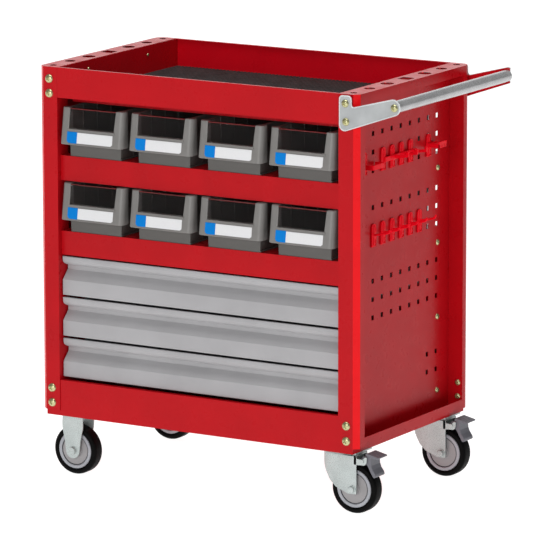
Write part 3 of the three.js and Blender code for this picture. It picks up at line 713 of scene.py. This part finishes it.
# ---- bolts ----
def bolt_head(radius=8.2, height=5.0):
    """Pan head with a cross recess, seated on the XY plane and pointing up Z."""
    dome = [(0, 1.0), (0.45, 0.96), (0.78, 0.72), (0.97, 0.3), (1.0, 0), (0, 0)]
    bm = bmesh.new()
    lathe(bm, [(r * radius, h * height) for r, h in dome], axis="z", sides=32)
    head = finish_object("bolt_head", bm, BOLT)
    slot = rectangle(-radius * 0.5, radius * 0.5, -1.1, 1.1)
    bm = bmesh.new()
    for angle in (0, 90):
        turn = Matrix.Rotation(math.radians(angle), 2)
        prism(bm, [tuple(turn @ Vector(corner)) for corner in slot], "z", height * 0.4, height + 2)
    carve(head, finish_object("cross", bm))
    soften(head, 0.0, angle=40.0)
    return head


FACING = {
    "-y": Matrix.Rotation(math.radians(90), 4, "X") @ Matrix.Rotation(math.radians(25), 4, "Z"),
    "+y": Matrix.Rotation(math.radians(-90), 4, "X") @ Matrix.Rotation(math.radians(60), 4, "Z"),
    "+x": Matrix.Rotation(math.radians(90), 4, "Y") @ Matrix.Rotation(math.radians(10), 4, "Z"),
    "-x": Matrix.Rotation(math.radians(-90), 4, "Y") @ Matrix.Rotation(math.radians(35), 4, "Z"),
}


def bolt_spots():
    """Kind of head, name, place and facing of every bolt and screw."""
    spots = []
    for side, sx in (("left", -1), ("right", 1)):
        outward = "-x" if sx < 0 else "+x"
        for end, sy in (("front", -1), ("rear", 1)):
            for i, z in enumerate(POST_BOLT_Z):
                if side == "left" or i > 1:  # the handle covers take the upper two on the right
                    place = (sx * POST_BOLT_X, sy * POST_BOLT_Y, z)
                    spots.append(("post", f"post_bolt_{side}_{end}_{i + 1}", place, "-y" if sy < 0 else "+y"))
        for i, z in enumerate(FLANGE_BOLT_Z):
            place = (sx * FLANGE_BOLT_X, FLANGE_BOLT_Y, z)
            spots.append(("panel", f"flange_bolt_{side}_{i + 1}", place, "-y"))
        for i, z in enumerate(PANEL_BOLT_Z):
            for end, y in PANEL_BOLT_Y:
                spots.append(("panel", f"panel_bolt_{side}_{end}_{i + 1}", (sx * PANEL_X, y, z), outward))
    for end, sy in (("front", -1), ("rear", 1)):
        for i, (x, z) in enumerate(HANDLE_BOLTS):
            place = (x if sy < 0 else min(x, HANDLE_X), sy * HANDLE_BOLT_Y, z)
            spots.append(("handle", f"handle_bolt_{end}_{i + 1}", place, "-y" if sy < 0 else "+y"))
    for i, (y, z) in enumerate(TRAY_SCREWS):
        spots.append(("tray", f"tray_screw_{i + 1}", (TRAY_SCREW_X, y, z), "+x"))
    return spots


def bolts():
    """All bolts and screws; they share four heads."""
    heads = {
        "post": bolt_head(9.3),
        "panel": bolt_head(6.5, 3.6),
        "handle": bolt_head(),
        "tray": bolt_head(3.4, 1.8),
    }
    for kind, name, place, facing in bolt_spots():
        piece = placed(heads[kind], name, place, FACING[facing])
        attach(piece, "chest")
    for head in heads.values():
        bpy.data.objects.remove(head)


bolts()


# ---- push handle ----
def bracket_outline(inset, tip_end):
    """Outline of a handle end plate in (x, z), cut off at tip_end past the axis of the bar."""
    heel = arc(354, 806.3, 12.5 - inset, 180, 290, 7)
    tip = arc(HANDLE_X, HANDLE_Z, BRACKET_TIP - inset, -70, 98, 14)
    tip = [(min(x, HANDLE_X + tip_end), z) for x, z in tip]
    notch = [(374.5, 843.9 - inset), (371.7 - inset, 845.6 - inset), (370.5 - inset, 849)]
    right = arc(370.5 - BRACKET_LOBE, 858.6, BRACKET_LOBE - inset, 0, 90, 6)
    left = arc(341.5 + BRACKET_LOBE, 858.6, BRACKET_LOBE - inset, 90, 180, 6)
    return [*heel, *tip, *notch, *right, *left]


def handle_end(end, sign):
    """Bracket plate and the dished cover over it, at one end of the push bar. The cover's rim and dish walls
    are a brighter metal, as a painted highlight of its rolled edge.
    """
    def between(low, high):
        return sorted((sign * (BRACKET_Y + low), sign * (BRACKET_Y + high)))

    cover_end = BRACKET_TIP if sign < 0 else BRACKET_CUT
    dish_floor = 6.7
    bm = bmesh.new()
    prism(bm, bracket_outline(0.8, BRACKET_CUT), "y", *between(0, 5))
    plate = finish_object(f"bracket_{end}_plate", bm, RED, bevel=0.8)
    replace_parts(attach(plate, "chest"), f"handle_bracket_{end}")
    bm = bmesh.new()
    prism(bm, bracket_outline(0, cover_end), "y", *between(5.3, 7.5))
    cover = finish_object(f"cover_{end}", bm, COVER_RIM_PAINTED_HIGHLIGHT, COVER)
    bm = bmesh.new()
    prism(bm, bracket_outline(2.4, cover_end), "y", *between(dish_floor, 9))
    carve(cover, finish_object("dish", bm, COVER_RIM_PAINTED_HIGHLIGHT))
    for polygon in cover.data.polygons:
        if abs(polygon.center.y / MM - sign * (BRACKET_Y + dish_floor)) < 0.05:
            polygon.material_index = 1
    soften(cover, 0.45, 3, 40.0)
    cover = joined(f"cover_{end}_plate", [cover])
    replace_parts(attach(cover, "chest"), f"handle_cover_{end}")


for end, sign in (("front", -1), ("rear", 1)):
    handle_end(end, sign)


def handle_tube():
    """Push bar: a thin tube between the brackets."""
    bm = bmesh.new()
    half = 235.0
    bore = HANDLE_RADIUS - 1.5
    profile = [(HANDLE_RADIUS, -half), (HANDLE_RADIUS, half), (bore, half), (bore, -half)]
    lathe(bm, profile, "y", (HANDLE_X, 0, HANDLE_Z), 64)
    tube = finish_object("push_bar", bm, TUBE)
    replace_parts(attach(tube, "chest"), "handle_tube")


handle_tube()


# ---- tool hooks ----
def hook_plate(y, z0):
    """Pressed plate of a hook: domed top, a raised middle and two small holes low on its rear side."""
    bm = bmesh.new()
    half, height = 9.0, 48.0
    outline = [(y - half, z0), (y + half, z0), *arc(y, z0 + height - half, half, 0, 180, 10)]
    prism(bm, outline, "x", PANEL_X + 0.3, PANEL_X + 3.3)
    ridge = [(y - 3.2, z0 + 4), (y + 3.2, z0 + 4), *arc(y, z0 + height - 8, 3.2, 0, 180, 6)]
    prism(bm, ridge, "x", PANEL_X + 2.5, PANEL_X + 4.4)
    plate = finish_object("hook_plate", bm, HOOK_RED, bevel=0.6)
    baked(plate)
    bm = bmesh.new()
    for z in (z0 + 5, z0 + 12.5):
        prism(bm, arc(y + 5.6, z, 2.7, 0, 330, 11), "x", PANEL_X - 5, PANEL_X + 10)
    return carve(plate, finish_object("holes", bm))


def hook_piece(node, parts):
    piece = joined(f"{node}_steel", parts)
    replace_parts(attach(piece, "chest"), node)


def hook_set():
    """Single hooks of the lower row, each a plate with a rising peg."""
    for i in range(6):
        low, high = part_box(f"peg_hook_{i + 1}")
        y, z0 = (low.y + high.y) / 2 / MM, low.z / MM
        x = PANEL_X + 1.5
        z = z0 + 24
        path = [(x, y, z), (x + 18, y, z + 4), (x + 32, y, z + 7), (x + 36, y, z + 9), (x + 40, y, z + 15)]
        hook_piece(f"peg_hook_{i + 1}", [hook_plate(y, z0), rod("peg", path, 2.3, HOOK_RED)])


hook_set()


def bar_piece(name, x0, x1, y0, y1, z0, z1):
    bm = bmesh.new()
    block(bm, x0, x1, y0, y1, z0, z1)
    return finish_object(name, bm, HOOK_RED, bevel=0.8)


def ring_holder(z0):
    """A plate with a strip bent into an open rectangle."""
    x, y = HOOK_X, -4 * SLOT_PITCH
    loop = rounded([(x + 1, y - 4), (x + 24, y - 4), (x + 24, y + 45), (x + 1, y + 45)], 4, 5)
    bm = bmesh.new()
    prism(bm, strip(loop, 2.5), "z", z0 + 13, z0 + 23)
    ring = finish_object("ring", bm, HOOK_RED, bevel=0.5)
    hook_piece("ring_holder", [hook_plate(y, z0), ring])


def tool_rack(z0):
    """A beam on four plates, with three blades that turn up at their ends."""
    x = HOOK_X
    parts = [hook_plate(i * SLOT_PITCH, z0) for i in (-2, -1, 0, 1)]
    parts.append(bar_piece("beam", x + 2, x + 7, -2 * SLOT_PITCH, SLOT_PITCH + 16, z0 + 17, z0 + 27))
    path = [(5, 18), (36, 23), (37, 35), (33.5, 35), (32, 28), (5, 25)]
    blade = rounded([(x + u, z0 + v) for u, v in path], 1.5, 3, closed=True)
    for y in (-SLOT_PITCH, 0, SLOT_PITCH):
        parts.append(side_piece("blade", blade, 0, y + 4, y + 8, HOOK_RED, bevel=0.6))
    hook_piece("tool_rack", parts)


def fork_holder(z0):
    """A plate and a short beam with four tines and a raised stop across their ends."""
    x, y = HOOK_X, 3 * SLOT_PITCH
    parts = [hook_plate(y, z0), bar_piece("beam", x + 2, x + 6, y - 8, y + 26, z0 + 19, z0 + 29)]
    for shift in (-6, 4, 14, 23):
        near = y + shift
        parts.append(bar_piece("tine", x + 5, x + 30, near, near + 3, z0 + 20, z0 + 28))
    parts.append(bar_piece("stop", x + 27, x + 30, y - 6, y + 26, z0 + 20, z0 + 33))
    hook_piece("fork_holder", parts)


upper_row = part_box("tool_rack")[0].z / MM
ring_holder(upper_row)
tool_rack(upper_row)
fork_holder(upper_row)


# ---- casters ----
def wheel_tyre(kind, end, centre, body):
    """Tyre with round shoulders."""
    crown = arc(WHEEL_R - TYRE_SHOULDER, TYRE_HALF - TYRE_SHOULDER, TYRE_SHOULDER, 0, 90, 6)
    crown += [(RIM_R + 3, TYRE_HALF), (RIM_R, 13)]
    bm = bmesh.new()
    lathe(bm, [(r, -a) for r, a in crown[::-1]] + crown, "y", centre, 80)
    tread = finish_object(f"{kind}_{end}_tread", bm, TYRE, angle=40)
    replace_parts(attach(tread, body), f"{kind}_tyre_{end}")


def wheel_hub(kind, end, centre, body):
    """Hub with a raised rim, a dark groove inside it, a disc and a boss round the axle."""
    rim = [(-0.3, 13.2), (-1.2, 14.4), (-6, 14.8), (-7.6, 13.6), (-8, 12.2), (-9.4, 12.2), (-10, 13.2)]
    face = [(RIM_R + r, a) for r, a in rim] + [(14, 13.6), (12.5, 17.4), (6.1, 17.4)]
    bm = bmesh.new()
    lathe(bm, face + [(r, -a) for r, a in face[::-1]], "y", centre, 80)
    for polygon in bm.faces:
        middle = polygon.calc_center_median() / MM
        radius = math.hypot(middle.x - centre[0], middle.z - centre[2])
        if radius > RIM_R - 7.4:
            polygon.material_index = 0
        elif radius > RIM_R - 9.7:
            polygon.material_index = 2
        else:
            polygon.material_index = 1
    hub = finish_object(f"{kind}_{end}_disc", bm, HUB, HUB_DISC, HUB_GROOVE, angle=28)
    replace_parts(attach(hub, body), f"{kind}_hub_{end}")


def wheel_parts(kind, end, x, y, body):
    centre = (x, y, WHEEL_R)
    wheel_tyre(kind, end, centre, body)
    wheel_hub(kind, end, centre, body)


def axle(x, y, body, name):
    """Axle bolt with a washer and a domed nut at each end."""
    dome = 6.2
    nut = [(4, 6), (6.2, 5.6), (7, 4.4), (7, 1.2), (9, 1.2), (9, -0.2), (5.9, -0.3)]
    side = [(r, FORK_HALF + a) for r, a in nut]
    profile = [(0, -FORK_HALF - dome)] + [(r, -a) for r, a in side] + side[::-1] + [(0, FORK_HALF + dome)]
    bm = bmesh.new()
    lathe(bm, profile, "y", (x, y, WHEEL_R), 32)
    piece = finish_object(name, bm, ZINC, angle=35)
    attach(piece, body)


def fork_plan(x, y):
    """Outline of a swivel fork seen from above: two cheeks that run into a rounded nose."""
    nose = []
    for i in range(9):
        turn = math.pi / 2 * i / 8
        nose.append((FORK_NOSE + FORK_NOSE_LENGTH * (1 - math.cos(turn)), -FORK_HALF * math.sin(turn)))
    plan = [(FORK_TAIL, -FORK_HALF)] + nose[::-1] + [(u, -v) for u, v in nose[1:]] + [(FORK_TAIL, FORK_HALF)]
    return [(x + u, y + v) for u, v in plan]


def swivel_fork(end, x, y):
    """Formed fork trimmed to its side profile, with its crown, the two arms and pin of the pedal."""
    plan = fork_plan(x, y)
    bm = bmesh.new()
    prism(bm, strip(plan[::-1], FORK_SHEET), "z", 38, 124)
    fork = finish_object(f"swivel_{end}_fork", bm, ZINC)
    front = [(-47, 125), (-47, 112), (-42, 97), (-36, 84), (-22, 65), (-6, 53)]
    foot = [(14, 46), (22, 42.5), (42.5, 42.5), (42.5, 125)]
    profile = rounded(front + foot, 4, closed=True)
    carve(fork, side_piece("side_profile", profile, x, y - 40, y + 40), "INTERSECT")
    soften(fork, 0.5, 2, 40.0)
    lower = [(36, 104), (61, 105), (65.5, 110), (66.5, 122)]
    upper = [(61.5, 122), (57, 117), (44, 117), (40, 124), (36, 124)]
    arm = rounded(lower + upper, 2.5, 3, closed=True)
    parts = [fork]
    for near in (y - FORK_HALF, y + FORK_HALF - FORK_SHEET):
        parts.append(side_piece("arm", arm, x, near, near + FORK_SHEET, ZINC, bevel=0.4))
    bm = bmesh.new()
    prism(bm, plan, "z", 121, 124)
    parts.append(finish_object("crown", bm, ZINC, bevel=0.6))
    bm = bmesh.new()
    lathe(bm, [(0, -25), (4, -25), (4, 25), (0, 25)], "y", (x + PEDAL_PIN[0] - 1, y, PEDAL_PIN[1]), 24)
    parts.append(finish_object("pin", bm, ZINC))
    piece = joined(f"swivel_fork_{end}_steel", parts)
    body = f"swivel_fork_{end}"
    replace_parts(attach(piece, body), f"swivel_caster_fork_{end}")
    axle(x + TRAIL, y, body, f"swivel_{end}_axle")


def pedal(end, x, y):
    """Brake pedal: a thin paddle, the block that carries it, a ribbed tread and two bosses."""
    front = [(65, 126), (65, 106), (72, 93), (79, 81.5), (82, 80)]
    back = [(85.5, 82.5), (84, 88), (77.5, 97), (74.5, 105), (73.5, 116), (74, 124)]
    paddle = rounded(front + back, 3.0, 3, closed=True)
    arm = rounded([(50, 108), (60, 104), (67, 104), (67, 122), (55, 122), (50, 118)], 3.0, 3, closed=True)
    tread = [(62, 124), (87, 119.6), (91, 120.6), (91, 123.4), (64, 129.6), (61, 128.6)]
    tread = rounded(tread, 1.4, 3, closed=True)
    parts = [
        side_piece("pedal_body", paddle, x, y - 19, y + 19, PEDAL, bevel=1.2, segments=3),
        side_piece("pedal_arm", arm, x, y - 14, y + 14, PEDAL, bevel=1.2, segments=3),
        side_piece("pedal_tread", tread, x, y - 19.3, y + 19.3, PEDAL, bevel=1.0, segments=3),
    ]
    for i in range(4):
        u, v = 67 + i * 5.4, 128.7 - i * 1.24
        rib = [(u, v - 1), (u + 2, v - 1.5), (u + 2, v + 0.35), (u, v + 0.85)]
        parts.append(side_piece("tread_rib", rib, x, y - 15, y + 15, PEDAL, bevel=0.3))
    boss = arc(*PEDAL_PIN, 8.5, 0, 345, 23)
    for side in (-1, 1):
        low, high = sorted((y + side * 13, y + side * 17.5))
        parts.append(side_piece("boss", boss, x, low, high, PEDAL, bevel=0.8))
    piece = joined(f"pedal_{end}", parts)
    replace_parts(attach(piece, f"brake_pedal_{end}"), f"brake_pedal_{end}")


for end, sign in (("front", -1), ("rear", 1)):
    caster_y = sign * CASTER_Y
    keep(f"fixed_caster_fork_{end}", ZINC, 0.6)
    keep(f"swivel_caster_plate_{end}", ZINC, 0.5)
    wheel_parts("fixed_caster", end, -CASTER_X, caster_y, f"fixed_wheel_{end}")
    wheel_parts("swivel_caster", end, CASTER_X + TRAIL, caster_y, f"swivel_wheel_{end}")
    swivel_fork(end, CASTER_X, caster_y)
    pedal(end, CASTER_X, caster_y)


# ---- floor, light and camera ----
def studio():
    """A bright floor, a pale world and three soft lamps."""
    paper = new_material("floor_paper", (0.42, 0.42, 0.42), 0.9, Specular_IOR_Level=0.0)
    shader = paper.node_tree.nodes["Principled BSDF"]
    shader.inputs["Emission Color"].default_value = (1.0, 1.0, 1.0, 1.0)
    shader.inputs["Emission Strength"].default_value = 0.95
    bm = bmesh.new()
    bmesh.ops.create_grid(bm, x_segments=8, y_segments=8, size=20.0)
    floor = finish_object("studio_floor", bm, paper)
    world = bpy.data.worlds.new("studio_world")
    bpy.context.scene.world = world
    world.use_nodes = True
    world.node_tree.nodes["Background"].inputs["Color"].default_value = (1.0, 1.0, 1.0, 1.0)
    world.node_tree.nodes["Background"].inputs["Strength"].default_value = 0.22
    lamps = [
        ("key", (0.9, -5.0, 1.7), 2.2, 90.0),
        ("top", (0.3, -0.4, 4.5), 2.6, 110.0),
        ("horizon", (-3.6, 6.6, 1.9), 5.0, 80.0),
    ]
    for name, place, size, power in lamps:
        light = bpy.data.lights.new(name, "AREA")
        light.size = size
        light.energy = power
        lamp = bpy.data.objects.new(name, light)
        bpy.context.scene.collection.objects.link(lamp)
        lamp.location = place
        aim = Vector((0.0, 0.0, 0.45)) - Vector(place)
        lamp.rotation_euler = aim.to_track_quat("-Z", "Y").to_euler()


def camera():
    """A long lens, at the front right and a little above the chest."""
    azimuth, elevation, roll = math.radians(30.91), math.radians(11.14), math.radians(-0.09)
    distance = 10.383
    target = Vector((0.0296, 0.0, 0.4433))
    level = math.cos(elevation)
    forward = Vector((-math.sin(azimuth) * level, math.cos(azimuth) * level, -math.sin(elevation)))
    data = bpy.data.cameras.new("camera")
    data.sensor_width = 36.0
    data.lens = 335.4
    data.clip_end = 100.0
    shot = bpy.data.objects.new("camera", data)
    bpy.context.scene.collection.objects.link(shot)
    turn = forward.to_track_quat("-Z", "Y").to_matrix().to_4x4() @ Matrix.Rotation(roll, 4, "Z")
    shot.matrix_world = Matrix.Translation(target - forward * distance) @ turn
    bpy.context.scene.camera = shot


studio()
camera()
bpy.context.scene.view_settings.view_transform = "Standard"
